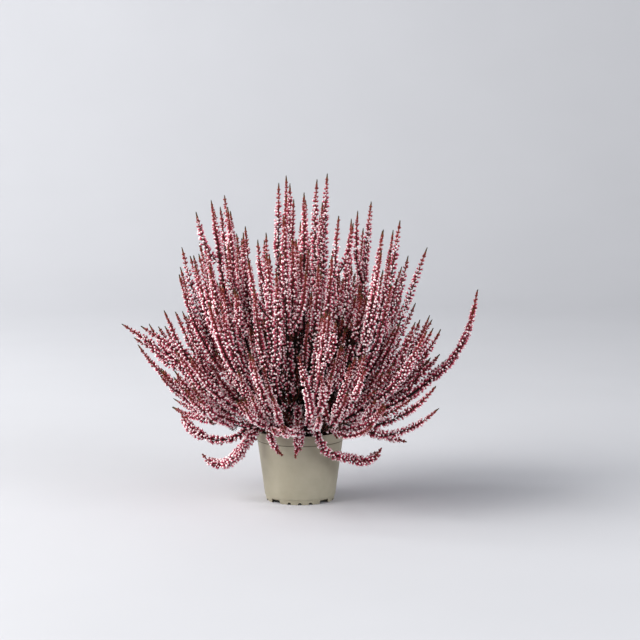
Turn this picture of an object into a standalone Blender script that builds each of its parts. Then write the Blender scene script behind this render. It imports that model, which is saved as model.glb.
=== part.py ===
# A potted heather: a tapered plastic grower's pot with a notched foot, a lump of peat compost, and a bush of
# flowering spikes, low sprays and green leafy shoots, each standing in its own hole in the compost.
# Metres, +Z up. The pot stands on the plane z = 0, with its axis on the Z axis. The front is the side at -Y.
import math
import random

import bmesh
import bpy
import numpy as np
from mathutils import Vector

# Driving sizes of the pot
RIM_DIAMETER = 0.120
POT_HEIGHT = 0.097
BASE_DIAMETER = 0.0965
WALL = 0.0013
RIM_BAND_HEIGHT = 0.0135
RIM_STEP = 0.0013
LIP = 0.0007
FOOT_HEIGHT = 0.0070
FOOT_INSET = 0.0008
FOOT_RING_WIDTH = 0.0026
FLOOR_UNDERSIDE = 0.0028
POT_SIDES = 48

# Cut-outs in the foot: a wide one at each quarter, and three small ones between two wide ones
QUARTERS = 4
WIDE_NOTCH_TOP, WIDE_NOTCH_BOTTOM, WIDE_NOTCH_HEIGHT = 0.0145, 0.0175, 0.0052
SMALL_NOTCH_WIDTH, SMALL_NOTCH_HEIGHT = 0.0056, 0.0031
SMALL_NOTCH_STEP = 18
DRAIN_RADIUS, DRAIN_CIRCLE = 0.0035, 0.022

# Driving sizes of the compost
GAP = 0.0003
COMPOST_DROP = 0.010
COMPOST_DOME = 0.003
COMPOST_LUMP = 0.0012
COMPOST_SIDES = 24
HOLE_DEPTH = 0.009
HOLE_SIDES = 5
HOLE_RADIUS = 0.0021

# Driving sizes of the bush
BUSH_TOP, BUSH_EDGE = 0.445, 0.205
SPREAD_X, SPREAD_Y = 0.490, 0.450
CROWN_RADIUS = 0.031
SPIKES, LEAFY_SHOOTS = 34, 5
GOLDEN_ANGLE = math.pi * (3 - math.sqrt(5))
SEED = 71

# One shoot: a slim stem, then rows of two opposite buds, each row a quarter turn from the last, then a tip.
# The buds are larger than life, so that their rows still cover the spike.
STEM_RADIUS, STEM_ROW = 0.00135, 0.020
COLLAR = 0.0040
BUD_REACH, BUD_ROW, BUD_RISE = 0.0068, 0.0120, 0.0024
LEAF_REACH, LEAF_ROW = 0.0034, 0.0062
ROW_WAIST = 0.0028
TIP_LENGTH, TIP_ROW, TIP_REACH = 0.014, 0.0070, 0.0021
FORK_HEIGHT = 0.0045

# Bare stem below the first buds: of a spike at the middle of the crown, what is added at its edge, of a low
# spray beyond the pot's rim, of a leafy shoot, and of a side spike above its fork
SPIKE_BARE, SPIKE_BARE_EDGE = 0.040, 0.020
SPRAY_BARE, LEAFY_BARE, SIDE_BARE = 0.008, 0.010, 0.016

# Room kept between two shoots, beside the rim of the pot, and from a side spike to the sides of the bush
CLEARANCE, RIM_CLEARANCE, EDGE_CLEARANCE = 0.0008, 0.0016, 0.008
LOWEST_SIDE_SPIKE = 0.109

COLOURS = {
    "pot": ((0.47, 0.44, 0.35, 1), 0.55),
    "compost": ((0.045, 0.030, 0.020, 1), 0.95),
    "bud": ((0.50, 0.12, 0.20, 1), 0.60),
    "leaf": ((0.055, 0.080, 0.035, 1), 0.65),
}

# Low sprays and trailing shoots, which the lattice of spikes doesn't give. Each stands in the compost at
# (degrees round the axis, distance from the axis), and passes through points of (degrees, distance, height).
# 270 degrees is the front.
LOW_SHOOTS = {
    "spray_left": ((178, 0.029), [(180, 0.066, 0.114), (181, 0.092, 0.140), (181, 0.124, 0.166),
                                  (181, 0.172, 0.196), (180, 0.243, 0.242)]),
    "spray_right": ((2, 0.029), [(3, 0.068, 0.112), (3, 0.130, 0.130), (2, 0.196, 0.178), (1, 0.228, 0.228),
                                 (0, 0.242, 0.290)]),
    "spray_front": ((277, 0.030), [(278, 0.068, 0.113), (277, 0.120, 0.134), (274, 0.178, 0.170),
                                   (270, 0.223, 0.232)]),
    "spray_back": ((92, 0.030), [(91, 0.068, 0.113), (90, 0.124, 0.136), (90, 0.182, 0.176),
                                 (89, 0.223, 0.236)]),
    "spray_left_back": ((150, 0.030), [(150, 0.067, 0.113), (149, 0.118, 0.140), (148, 0.170, 0.180),
                                       (147, 0.212, 0.245)]),
    "spray_right_back": ((36, 0.030), [(36, 0.067, 0.113), (35, 0.120, 0.138), (34, 0.176, 0.172),
                                       (33, 0.222, 0.232)]),
    "spray_right_front": ((317, 0.030), [(317, 0.067, 0.113), (318, 0.120, 0.140), (320, 0.172, 0.182),
                                         (322, 0.212, 0.250)]),
    "spray_left_front": ((227, 0.030), [(227, 0.067, 0.113), (226, 0.118, 0.138), (224, 0.172, 0.170),
                                        (222, 0.216, 0.226)]),
    "trail_left": ((196, 0.033), [(195, 0.062, 0.1065), (194, 0.076, 0.098), (193, 0.093, 0.088),
                                  (191, 0.114, 0.085), (189, 0.137, 0.091), (188, 0.154, 0.103),
                                  (187, 0.163, 0.124)]),
    "trail_left_low": ((215, 0.033), [(214, 0.061, 0.1065), (211, 0.078, 0.093), (206, 0.094, 0.068),
                                      (202, 0.112, 0.055), (199, 0.128, 0.058), (198, 0.139, 0.070)]),
    "trail_front_left": ((242, 0.034), [(243, 0.050, 0.122), (242, 0.066, 0.131), (242, 0.079, 0.118),
                                        (243, 0.084, 0.099), (247, 0.083, 0.085), (254, 0.082, 0.074)]),
    "trail_front": ((268, 0.034), [(268, 0.048, 0.128), (268, 0.064, 0.138), (268, 0.078, 0.122),
                                   (268, 0.083, 0.098), (266, 0.081, 0.071)]),
    "trail_front_right": ((292, 0.034), [(291, 0.060, 0.1065), (290, 0.0735, 0.098), (294, 0.077, 0.083),
                                         (304, 0.077, 0.074), (317, 0.081, 0.067), (328, 0.094, 0.061),
                                         (334, 0.110, 0.064), (336, 0.121, 0.080)]),
    "trail_rim": ((303, 0.034), [(303, 0.050, 0.118), (303, 0.066, 0.123), (304, 0.078, 0.111),
                                 (307, 0.083, 0.096)]),
    "trail_right": ((350, 0.033), [(350, 0.062, 0.1070), (351, 0.088, 0.102), (352, 0.118, 0.088),
                                   (353, 0.147, 0.082)]),
    "trail_back": ((118, 0.034), [(118, 0.061, 0.1070), (119, 0.0765, 0.097), (121, 0.088, 0.076),
                                  (126, 0.108, 0.066)]),
}


def clear_scene():
    for obj in list(bpy.data.objects):
        bpy.data.objects.remove(obj, do_unlink=True)


def new_collection(name):
    made = bpy.data.collections.new(name)
    bpy.context.scene.collection.children.link(made)
    return made


def new_material(name):
    colour, roughness = COLOURS[name]
    material = bpy.data.materials.new(name)
    material.use_nodes = True
    shader = material.node_tree.nodes["Principled BSDF"]
    shader.inputs["Base Color"].default_value = colour
    shader.inputs["Roughness"].default_value = roughness
    shader.inputs["Metallic"].default_value = 0
    material.diffuse_color = colour
    return material


def new_object(name, mesh, collection, material=None):
    obj = bpy.data.objects.new(name, mesh)
    collection.objects.link(obj)
    if material:
        mesh.materials.append(material)
    return obj


def as_cutter(obj):
    obj.hide_render = True
    obj.display_type = "WIRE"
    return obj


def cylinder_cutter(name, sides, radius, depth, centre, collection):
    bpy.ops.mesh.primitive_cylinder_add(vertices=sides, radius=radius, depth=depth, location=centre)
    obj = bpy.context.object
    obj.name = name
    for home in list(obj.users_collection):
        home.objects.unlink(obj)
    collection.objects.link(obj)
    return as_cutter(obj)


def turned(name, profile, sides, collection, material=None):
    """A profile of (radius, height) points, turned once round the Z axis."""
    mesh = bpy.data.meshes.new(name)
    points = [(radius, 0, height) for radius, height in profile]
    mesh.from_pydata(points, [(i, i + 1) for i in range(len(points) - 1)], [])
    obj = new_object(name, mesh, collection, material)
    screw = obj.modifiers.new("turn", "SCREW")
    screw.steps = screw.render_steps = sides
    screw.use_merge_vertices = True
    screw.merge_threshold = 0.00005
    screw.use_smooth_shade = True
    return obj


def cut_with(obj, cutters):
    cut = obj.modifiers.new("cut", "BOOLEAN")
    cut.operation = "DIFFERENCE"
    cut.operand_type = "COLLECTION"
    cut.collection = cutters
    cut.solver = "EXACT"


def wall_radius(height):
    """Outer radius of the pot's plain wall, which tapers evenly from the rim band to the foot."""
    top = RIM_DIAMETER / 2 - RIM_STEP
    share = (height - FOOT_HEIGHT) / (POT_HEIGHT - RIM_BAND_HEIGHT - FOOT_HEIGHT)
    return BASE_DIAMETER / 2 + (top - BASE_DIAMETER / 2) * share


def inner_radius(height):
    return wall_radius(height) - WALL


def prism(name, outline, length, collection):
    """A cutter: an outline in the YZ plane, drawn out along X from the foot's inside to its outside."""
    mesh = bpy.data.meshes.new(name)
    shape = bmesh.new()
    corners = [shape.verts.new((0, y, z)) for y, z in outline]
    face = shape.faces.new(corners)
    drawn = bmesh.ops.extrude_face_region(shape, geom=[face])
    moved = [item for item in drawn["geom"] if isinstance(item, bmesh.types.BMVert)]
    bmesh.ops.translate(shape, verts=moved, vec=(length, 0, 0))
    bmesh.ops.recalc_face_normals(shape, faces=shape.faces)
    shape.to_mesh(mesh)
    shape.free()
    return as_cutter(new_object(name, mesh, collection))


def foot_cutters(collection):
    """The wide and small cut-outs in the foot, and the round drain holes in the floor."""
    below = -0.001
    wide = [(-WIDE_NOTCH_BOTTOM / 2, below), (WIDE_NOTCH_BOTTOM / 2, below),
            (WIDE_NOTCH_TOP / 2, WIDE_NOTCH_HEIGHT), (-WIDE_NOTCH_TOP / 2, WIDE_NOTCH_HEIGHT)]
    half = SMALL_NOTCH_WIDTH / 2
    small = [(-half, below), (half, below),
             (half * 0.7, SMALL_NOTCH_HEIGHT), (-half * 0.7, SMALL_NOTCH_HEIGHT)]
    inside = BASE_DIAMETER / 2 - FOOT_INSET - FOOT_RING_WIDTH - 0.002
    through = FOOT_RING_WIDTH + 0.006
    for quarter in range(QUARTERS):
        turn = 360 / QUARTERS * (quarter + 0.5)
        places = [("wide", wide, turn)]
        for step in (-1, 0, 1):
            places.append(("small", small, turn + 180 / QUARTERS + step * SMALL_NOTCH_STEP))
        for kind, outline, degrees in places:
            cutter = prism(f"{kind}_notch", outline, through, collection)
            angle = math.radians(degrees)
            cutter.location = (inside * math.cos(angle), inside * math.sin(angle), 0)
            cutter.rotation_euler = (0, 0, angle)
    for number in range(QUARTERS + 1):
        angle = 2 * math.pi * number / QUARTERS
        distance = DRAIN_CIRCLE if number < QUARTERS else 0
        centre = (distance * math.cos(angle), distance * math.sin(angle), 0)
        cylinder_cutter("drain", 8, DRAIN_RADIUS, 0.02, centre, collection)


def make_pot(collection, cutters, material):
    rim = RIM_DIAMETER / 2
    band_foot = POT_HEIGHT - RIM_BAND_HEIGHT
    base = BASE_DIAMETER / 2
    foot = base - FOOT_INSET
    floor_top = FLOOR_UNDERSIDE + WALL
    profile = [
        (0, floor_top),
        (inner_radius(floor_top), floor_top),
        (inner_radius(band_foot - 0.001), band_foot - 0.001),
        (rim - WALL - 0.0002, band_foot + 0.001),
        (rim - WALL, POT_HEIGHT),
        (rim + LIP, POT_HEIGHT),
        (rim + LIP, POT_HEIGHT - 0.0018),
        (rim, POT_HEIGHT - 0.0026),
        (rim - 0.0002, band_foot + 0.0004),
        (rim - RIM_STEP, band_foot),
        (wall_radius(FOOT_HEIGHT), FOOT_HEIGHT),
        (foot, FOOT_HEIGHT - 0.0005),
        (foot - 0.0010, 0),
        (foot - FOOT_RING_WIDTH, 0),
        (foot - FOOT_RING_WIDTH, FLOOR_UNDERSIDE),
        (0, FLOOR_UNDERSIDE),
    ]
    pot = turned("pot", profile, POT_SIDES, collection, material)
    cut_with(pot, cutters)
    return pot


def compost_height(x, y):
    """Height of the compost's surface: a low dome with a few lumps."""
    edge = inner_radius(POT_HEIGHT - COMPOST_DROP)
    dome = COMPOST_DOME * (1 - (x * x + y * y) / edge**2)
    lumps = math.sin(x * 190 + 1.3) * math.cos(y * 230 - 0.4) + 0.6 * math.sin(x * 410 + y * 370)
    return POT_HEIGHT - COMPOST_DROP + dome + COMPOST_LUMP * 0.5 * lumps


def make_compost(collection, cutters, material):
    top = POT_HEIGHT - COMPOST_DROP
    bottom = FLOOR_UNDERSIDE + WALL + GAP
    band_foot = POT_HEIGHT - RIM_BAND_HEIGHT
    lowered_edge = top - COMPOST_LUMP * 1.4
    edge = min(inner_radius(band_foot - 0.001), inner_radius(lowered_edge)) - GAP
    profile = [(0, bottom), (inner_radius(bottom) - GAP, bottom),
               (inner_radius(band_foot - 0.003) - GAP, band_foot - 0.003), (edge, lowered_edge)]
    rings = 3
    profile += [(edge * (1 - (ring + 1) / rings), top) for ring in range(rings)]
    guide = turned("compost_guide", profile[::-1], COMPOST_SIDES, collection)
    bpy.context.view_layer.update()
    mesh = bpy.data.meshes.new_from_object(guide.evaluated_get(bpy.context.evaluated_depsgraph_get()))
    bpy.data.objects.remove(guide)
    mesh.name = "compost"
    for vertex in mesh.vertices:
        if vertex.co.z > top - 0.0001:
            vertex.co.z = compost_height(vertex.co.x, vertex.co.y)
    compost = new_object("compost", mesh, collection, material)
    cut_with(compost, cutters)
    return compost


def smooth_route(points, spacing=0.002):
    """Points about one spacing apart on a Catmull-Rom curve through the given points."""
    ends = [points[0] * 2 - points[1]] + points + [points[-1] * 2 - points[-2]]
    fine = []
    for a, b, c, d in zip(ends, ends[1:], ends[2:], ends[3:]):
        steps = max(2, int((c - b).length / spacing))
        for step in range(steps):
            t = step / steps
            fine.append(0.5 * (2 * b + (c - a) * t + (2 * a - 5 * b + 4 * c - d) * t * t
                               + (3 * b - a - 3 * c + d) * t**3))
    fine.append(points[-1].copy())
    return fine


def on_circle(degrees, distance, height):
    angle = math.radians(degrees)
    return Vector((distance * math.cos(angle), distance * math.sin(angle), height))


def collar_point(degrees, distance):
    """Where a stem that still stands upright has just left the compost."""
    point = on_circle(degrees, distance, 0)
    point.z = compost_height(point.x, point.y) + COLLAR
    return point


def curve_between(start, after, before, tip, spacing):
    """Points about one spacing apart on the Bezier curve with these four control points."""
    count = max(8, int((tip - start).length / spacing))
    made = []
    for step in range(count + 1):
        t = step / count
        u = 1 - t
        made.append(start * u**3 + 3 * after * u**2 * t + 3 * before * u * t**2 + tip * t**3)
    return made


def arch(degrees, start_distance, reach, top, lean, tip_lean, sway):
    """The route of one spike: it leaves the compost at its lean, and turns up towards its tip."""
    start = collar_point(degrees, start_distance)
    tip = on_circle(degrees + sway, reach, top)
    span = (tip - start).length * 0.40
    way_out = on_circle(degrees, math.sin(lean), math.cos(lean))
    way_up = on_circle(degrees + sway * 1.6, math.sin(tip_lean), math.cos(tip_lean))
    return curve_between(start, start + way_out * span, tip - way_up * span, tip, 0.004)


def lengths_along(route):
    total = [0.0]
    for a, b in zip(route, route[1:]):
        total.append(total[-1] + (b - a).length)
    return total


def frames_of(route, side=Vector((1, 0, 0))):
    """At each point of a route, the way ahead and a side direction that doesn't twist."""
    made = []
    for number in range(len(route)):
        ahead = (route[min(number + 1, len(route) - 1)] - route[max(number - 1, 0)]).normalized()
        side = (side - ahead * side.dot(ahead)).normalized()
        made.append((ahead, side))
    return made


def place_on(shoot, distance):
    """The point, the way ahead and the side direction at a distance from the start of a shoot's route."""
    route, along, frames = shoot["route"], shoot["along"], shoot["frames"]
    index = max(1, min(len(along) - 1, int(np.searchsorted(along, distance))))
    share = (distance - along[index - 1]) / (along[index] - along[index - 1])
    ahead = frames[index - 1][0].lerp(frames[index][0], share).normalized()
    side = frames[index - 1][1].lerp(frames[index][1], share)
    return route[index - 1].lerp(route[index], share), ahead, (side - ahead * side.dot(ahead)).normalized()


def flowering_rows(start, end, reach, pitch):
    """The rows of buds or leaves as (distance, how far they reach), which are smaller at both ends."""
    count = max(2, round((end - start) / pitch))
    rows = []
    for row in range(1, count + 1):
        share = row / count
        swell = min(1, 0.62 + 0.127 * row) * (1 - 0.42 * max(0, (share - 0.45) / 0.55)**1.3)
        rows.append((start + (end - start) * share, reach * swell))
    return rows + [(end + TIP_ROW, TIP_REACH)]


def rows_of(length, bare, kind):
    """Every row of one shoot from its root to its tip. Between the two last plain rows of a spike or a low
    spray, which stand close together, a side spike may leave the stem."""
    collar = HOLE_DEPTH - GAP + COLLAR
    stem_rows = max(1, round((bare - collar) / STEM_ROW))
    rows = [(0, 0), (collar, 0)]
    rows += [(collar + (bare - collar) * (row + 1) / stem_rows, 0) for row in range(stem_rows)]
    if kind in ("spike", "spray"):
        bare += FORK_HEIGHT
        rows.append((bare, 0))
    if kind == "leafy":
        return rows + flowering_rows(bare, length - TIP_LENGTH, LEAF_REACH, LEAF_ROW)
    return rows + flowering_rows(bare, length - TIP_LENGTH, BUD_REACH, BUD_ROW)


def outline_of(route, rows):
    """Points and radii that stand for a shoot where one shoot is kept clear of another."""
    along = np.array(lengths_along(route))
    radii = np.full(len(along), STEM_RADIUS)
    for distance, reach in rows:
        near = np.abs(along - distance - BUD_RISE / 2) < BUD_ROW * 0.62
        radii[near] = np.maximum(radii[near], reach)
    return np.array([point[:] for point in route]), radii


def clear_of_pot(points, radii):
    """Whether a shoot keeps clear of the rim, and of the wall where it hangs below the rim."""
    distance = np.hypot(points[:, 0], points[:, 1])
    heights = points[:, 2]
    past_rim = np.hypot(distance - RIM_DIAMETER / 2, heights - POT_HEIGHT)
    past_wall = np.abs(distance - RIM_DIAMETER / 2)
    inside = (heights < POT_HEIGHT) & (distance < CROWN_RADIUS * 1.5)
    room = np.where(heights > POT_HEIGHT, past_rim, past_wall)
    return bool((inside | (room > radii + RIM_CLEARANCE)).all())


def clear_of_others(points, radii, others):
    for other_points, other_radii in others:
        reach = radii.max() + other_radii.max() + CLEARANCE
        if ((points.min(0) - other_points.max(0)).max() > reach
                or (other_points.min(0) - points.max(0)).max() > reach):
            continue
        apart = ((points[:, None] - other_points[None])**2).sum(2)
        if (apart < (radii[:, None] + other_radii[None] + CLEARANCE)**2).any():
            return False
    return True


def place_shoot(bush, name, kind, route, bare):
    """Adds a shoot to the bush, and says whether it was clear of the pot and of every other shoot."""
    root = route[0] - Vector((0, 0, COLLAR + HOLE_DEPTH - GAP))
    route = [root] + route
    along = lengths_along(route)
    rows = rows_of(along[-1], bare, kind)
    outline = outline_of(route, rows)
    if not (clear_of_others(*outline, bush["outlines"].values()) and clear_of_pot(*outline)):
        return False
    bush["shoots"][name] = {"kind": kind, "route": route, "along": along, "frames": frames_of(route),
                            "rows": rows, "bare": bare}
    bush["outlines"][name] = outline
    return True


def face_way(ahead, side, face):
    """The outward direction of one of the four faces of a stem, whose corners lie on the side directions."""
    corners = (side, ahead.cross(side), -side, -ahead.cross(side))
    return (corners[face] + corners[(face + 1) % 4]).normalized()


def side_route(shoot, face, rise, away):
    """The route of a side spike, which leaves a face of the stem and then runs beside its shoot."""
    fork, ahead, side = place_on(shoot, shoot["bare"] + FORK_HEIGHT / 2)
    out = face_way(ahead, side, face)
    start = fork + out * STEM_RADIUS * 0.7
    beside, tip_ahead, tip_side = place_on(shoot, shoot["bare"] + rise)
    tip_out = face_way(tip_ahead, tip_side, face)
    tip = beside + tip_out * away
    after = start + (ahead + out).normalized() * rise * 0.26
    before = tip - (tip_ahead + tip_out * 0.1).normalized() * rise * 0.45
    return curve_between(start, after, before, tip, 0.003)


def within_bush(route):
    return all(abs(point.x) < SPREAD_X / 2 - EDGE_CLEARANCE and abs(point.y) < SPREAD_Y / 2 - EDGE_CLEARANCE
               and LOWEST_SIDE_SPIKE < point.z < BUSH_TOP - EDGE_CLEARANCE for point in route)


def place_side_spike(bush, name, draw, tries=60):
    """Looks for a side spike that is clear of the rest of the bush, and of the buds of its own shoot."""
    shoot, (points, radii) = bush["shoots"][name], bush["outlines"][name]
    past_fork = np.array(shoot["along"]) > shoot["bare"] + FORK_HEIGHT * 2
    others = [outline for other, outline in bush["outlines"].items() if other != name]
    others.append((points[past_fork], radii[past_fork]))
    wide = 0.050 if shoot["route"][-1].xy.length > 0.15 else 0.036
    for attempt in range(tries):
        face = draw.randrange(4)
        longest = (shoot["along"][-1] - shoot["bare"]) * (1 - 0.4 * attempt / tries)
        route = side_route(shoot, face, longest * draw.uniform(0.50, 0.88), draw.uniform(0.018, wide))
        along = lengths_along(route)
        rows = flowering_rows(SIDE_BARE, along[-1] - TIP_LENGTH, BUD_REACH, BUD_ROW)
        points, radii = outline_of(route, rows)
        past_stem = np.array(along) > 0.009
        outline = points[past_stem], radii[past_stem]
        if within_bush(route) and clear_of_others(*outline, others):
            shoot["side"] = {"face": face, "route": route, "along": along, "rows": [(SIDE_BARE, 0)] + rows}
            bush["outlines"][name + "_side"] = outline
            return


def place_low_shoots(bush):
    for name, (foot, places) in LOW_SHOOTS.items():
        route = smooth_route([collar_point(*foot)] + [on_circle(*place) for place in places])
        past_rim = min(along for along, point in zip(lengths_along(route), route)
                       if point.xy.length > RIM_DIAMETER * 0.55)
        if not place_shoot(bush, name, name.split("_")[0], route, past_rim + HOLE_DEPTH + SPRAY_BARE):
            print("not clear:", name)


def place_spikes(bush, draw):
    """The spikes stand on a sunflower lattice, and their tips make a dome. One that would touch another is
    drawn again, turned a little and with a longer bare stem, until it is clear."""
    for number in range(SPIKES):
        share = math.sqrt((number + 0.5) / SPIKES)
        dome = BUSH_EDGE + (BUSH_TOP - BUSH_EDGE) * (1 - (share * 0.97)**5)**1.5
        top = dome - 0.080 * draw.random()**1.4 * (1 if number % 3 else 0.35)
        for attempt in range(120):
            loose = 1 + attempt / 10
            turn = math.degrees(number * GOLDEN_ANGLE) + draw.uniform(-4, 4) * loose
            across = math.cos(math.radians(turn))**2
            spread = (SPREAD_X * across + SPREAD_Y * (1 - across)) / 2
            reach = 0.93 * spread * share**1.05 * draw.uniform(0.94, 1.02)
            lean = math.radians(6 + 66 * share**1.1 + draw.uniform(-3, 3) * loose)
            tip_lean = math.radians(2 + 32 * share**3 + draw.uniform(-4, 4))
            sway = draw.uniform(-3, 3) * loose
            route = arch(turn, CROWN_RADIUS * share, reach, top, lean, tip_lean, sway)
            bare = HOLE_DEPTH + SPIKE_BARE + SPIKE_BARE_EDGE * share + 0.001 * attempt
            if place_shoot(bush, f"spike_{number + 1:02d}", "spike", route, bare):
                break


def place_leafy_shoots(bush, draw, tries=900):
    placed = 0
    for _ in range(tries):
        turn = 360 / LEAFY_SHOOTS * (placed + 0.5) + draw.uniform(-16, 16)
        lean = math.radians(draw.uniform(30, 55))
        route = arch(turn, draw.uniform(0.036, 0.043), draw.uniform(0.062, 0.088), draw.uniform(0.120, 0.150),
                     lean, lean * 0.8, draw.uniform(-8, 8))
        placed += place_shoot(bush, f"leafy_shoot_{placed + 1}", "leafy", route, HOLE_DEPTH + LEAFY_BARE)
        if placed == LEAFY_SHOOTS:
            return


def plan_bush():
    draw = random.Random(SEED)
    bush = {"shoots": {}, "outlines": {}}
    place_low_shoots(bush)
    place_spikes(bush, draw)
    place_leafy_shoots(bush, draw)
    for name, shoot in bush["shoots"].items():
        if shoot["kind"] in ("spike", "spray"):
            place_side_spike(bush, name, draw)
    return bush["shoots"]


def ring_at(shape, shoot, row, number):
    """One four-cornered ring. In a flowering row two opposite corners stand out."""
    distance, reach = row
    centre, ahead, side = place_on(shoot, distance)
    other = ahead.cross(side)
    waist = min(ROW_WAIST, reach * 0.62) if reach else STEM_RADIUS
    ring = []
    for corner, direction in enumerate((side, other, -side, -other)):
        out = bool(reach) and corner % 2 == number % 2
        offset = direction * (reach if out else waist) + ahead * (BUD_RISE if out else 0)
        ring.append(shape.verts.new(centre + offset))
    return ring


def join_rings(shape, rings, left_open=None):
    """Two triangles between each pair of corners, turned so that every corner that stands out is a ridge. The
    face that left_open names, as (row, face), isn't made, because a side spike grows from it."""
    for number, (low, high) in enumerate(zip(rings, rings[1:])):
        for corner in range(4):
            following = (corner + 1) % 4
            if (number, corner) == left_open:
                continue
            if corner % 2 == number % 2:
                shape.faces.new((low[corner], low[following], high[corner]))
                shape.faces.new((low[following], high[following], high[corner]))
            else:
                shape.faces.new((low[corner], low[following], high[following]))
                shape.faces.new((low[corner], high[following], high[corner]))


def close_tip(shape, ring, point):
    tip = shape.verts.new(point)
    for corner in range(4):
        shape.faces.new((ring[corner], ring[(corner + 1) % 4], tip))


def make_shoot(name, shoot, collection, material):
    """A tube of four-cornered rings along the route, and a second one that grows from a face of the first."""
    shape = bmesh.new()
    rings = [ring_at(shape, shoot, row, number) for number, row in enumerate(shoot["rows"])]
    side = shoot.get("side")
    fork = sum(not reach for _, reach in shoot["rows"]) - 2
    join_rings(shape, rings, (fork, side["face"]) if side else None)
    shape.faces.new(rings[0][::-1])
    close_tip(shape, rings[-1], shoot["route"][-1])
    if side:
        first, second = side["face"], (side["face"] + 1) % 4
        foot = [rings[fork][first], rings[fork][second], rings[fork + 1][second], rings[fork + 1][first]]
        side["frames"] = frames_of(side["route"], foot[0].co - side["route"][0])
        rings = [foot] + [ring_at(shape, side, row, number + 1) for number, row in enumerate(side["rows"])]
        join_rings(shape, rings)
        close_tip(shape, rings[-1], side["route"][-1])
    mesh = bpy.data.meshes.new(name)
    shape.to_mesh(mesh)
    shape.free()
    return new_object(name, mesh, collection, material)


def make_hole(name, foot, collection):
    """A plain hole for one stem, cut down into the compost."""
    depth = HOLE_DEPTH + COLLAR
    centre = (foot.x, foot.y, foot.z - GAP + depth / 2)
    cylinder_cutter(name, HOLE_SIDES, HOLE_RADIUS, depth, centre, collection)


def build():
    clear_scene()
    plant = new_collection("potted_heather")
    pot_cutters = new_collection("pot_cutters")
    hole_cutters = new_collection("hole_cutters")
    materials = {name: new_material(name) for name in COLOURS}
    foot_cutters(pot_cutters)
    for name, shoot in plan_bush().items():
        make_hole("hole_" + name, shoot["route"][0], hole_cutters)
        make_shoot(name, shoot, plant, materials["leaf" if shoot["kind"] == "leafy" else "bud"])
    make_compost(plant, hole_cutters, materials["compost"])
    make_pot(plant, pot_cutters, materials["pot"])


build()
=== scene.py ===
import math

import bmesh
import bpy
import numpy as np
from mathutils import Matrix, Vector


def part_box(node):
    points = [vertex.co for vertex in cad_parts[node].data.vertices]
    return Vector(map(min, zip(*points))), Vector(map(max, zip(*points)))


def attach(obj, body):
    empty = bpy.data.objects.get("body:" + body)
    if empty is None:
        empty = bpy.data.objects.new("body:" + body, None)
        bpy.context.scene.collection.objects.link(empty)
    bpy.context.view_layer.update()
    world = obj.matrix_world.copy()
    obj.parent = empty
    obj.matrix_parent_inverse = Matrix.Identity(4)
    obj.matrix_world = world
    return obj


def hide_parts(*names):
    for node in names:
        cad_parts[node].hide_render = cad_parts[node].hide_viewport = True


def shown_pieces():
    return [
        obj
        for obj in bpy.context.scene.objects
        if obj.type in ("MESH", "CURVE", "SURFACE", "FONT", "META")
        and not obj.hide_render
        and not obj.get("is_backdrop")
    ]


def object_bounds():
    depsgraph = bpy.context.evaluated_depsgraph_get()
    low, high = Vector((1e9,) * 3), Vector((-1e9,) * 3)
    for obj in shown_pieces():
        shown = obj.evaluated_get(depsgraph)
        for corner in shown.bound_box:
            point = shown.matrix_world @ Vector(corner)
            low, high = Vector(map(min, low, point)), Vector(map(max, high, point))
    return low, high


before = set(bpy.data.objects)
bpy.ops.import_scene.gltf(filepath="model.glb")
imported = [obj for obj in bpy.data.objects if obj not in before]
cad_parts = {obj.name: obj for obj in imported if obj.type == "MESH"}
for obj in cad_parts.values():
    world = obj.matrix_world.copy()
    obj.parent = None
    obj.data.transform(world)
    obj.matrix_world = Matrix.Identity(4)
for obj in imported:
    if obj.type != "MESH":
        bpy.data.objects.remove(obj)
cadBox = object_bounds()
print("frame loaded:", len(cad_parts), "solids")

# Everything is in metres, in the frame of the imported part.
mm = 0.001
potLow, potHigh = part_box("pot")
rimBand = 13.5 * mm
rng = np.random.default_rng(412)


# Materials

def newMaterial(name):
    material = bpy.data.materials.new(name)
    material.use_nodes = True
    tree = material.node_tree
    return material, tree, tree.nodes["Principled BSDF"]


def addNode(tree, kind, settings=None, **inputs):
    node = tree.nodes.new("ShaderNode" + kind)
    for key, value in (settings or {}).items():
        setattr(node, key, value)
    for key, value in inputs.items():
        socket = node.inputs[int(key[1:])] if key[0] == "i" and key[1:].isdigit() else node.inputs[key]
        if hasattr(value, "is_linked"):
            tree.links.new(value, socket)
        else:
            socket.default_value = value
    return node


def rampNode(tree, factor, stops):
    node = addNode(tree, "ValToRGB", i0=factor)
    ramp = node.color_ramp
    while len(ramp.elements) < len(stops):
        ramp.elements.new(0.5)
    for element, (place, colour) in zip(ramp.elements, stops):
        element.position = place
        element.color = (*srgb(colour), 1)
    return node.outputs["Color"]


def srgb(colour):
    # 0 to 255 as picked from a screen, to linear light
    return [c / 255 / 12.92 if c / 255 <= 0.04045 else ((c / 255 + 0.055) / 1.055)**2.4 for c in colour]


def mathNode(tree, operation, a, b):
    return addNode(tree, "Math", {"operation": operation}, i0=a, i1=b).outputs[0]


def mixColour(tree, factor, a, b, blend="MIX"):
    node = addNode(tree, "Mix", {"data_type": "RGBA", "blend_type": blend})
    for socket, value in ((node.inputs[0], factor), (node.inputs[6], a), (node.inputs[7], b)):
        if hasattr(value, "is_linked"):
            tree.links.new(value, socket)
        else:
            socket.default_value = value
    return node.outputs[2]


def noiseNode(tree, scale, detail=3, roughness=0.55):
    place = addNode(tree, "TexCoord").outputs["Object"]
    return addNode(tree, "TexNoise", None, Vector=place, Scale=scale, Detail=detail, Roughness=roughness)


def bumpNode(tree, shader, height, strength, distance):
    bump = addNode(tree, "Bump", None, Strength=strength, Distance=distance, Height=height)
    tree.links.new(bump.outputs["Normal"], shader.inputs["Normal"])


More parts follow.
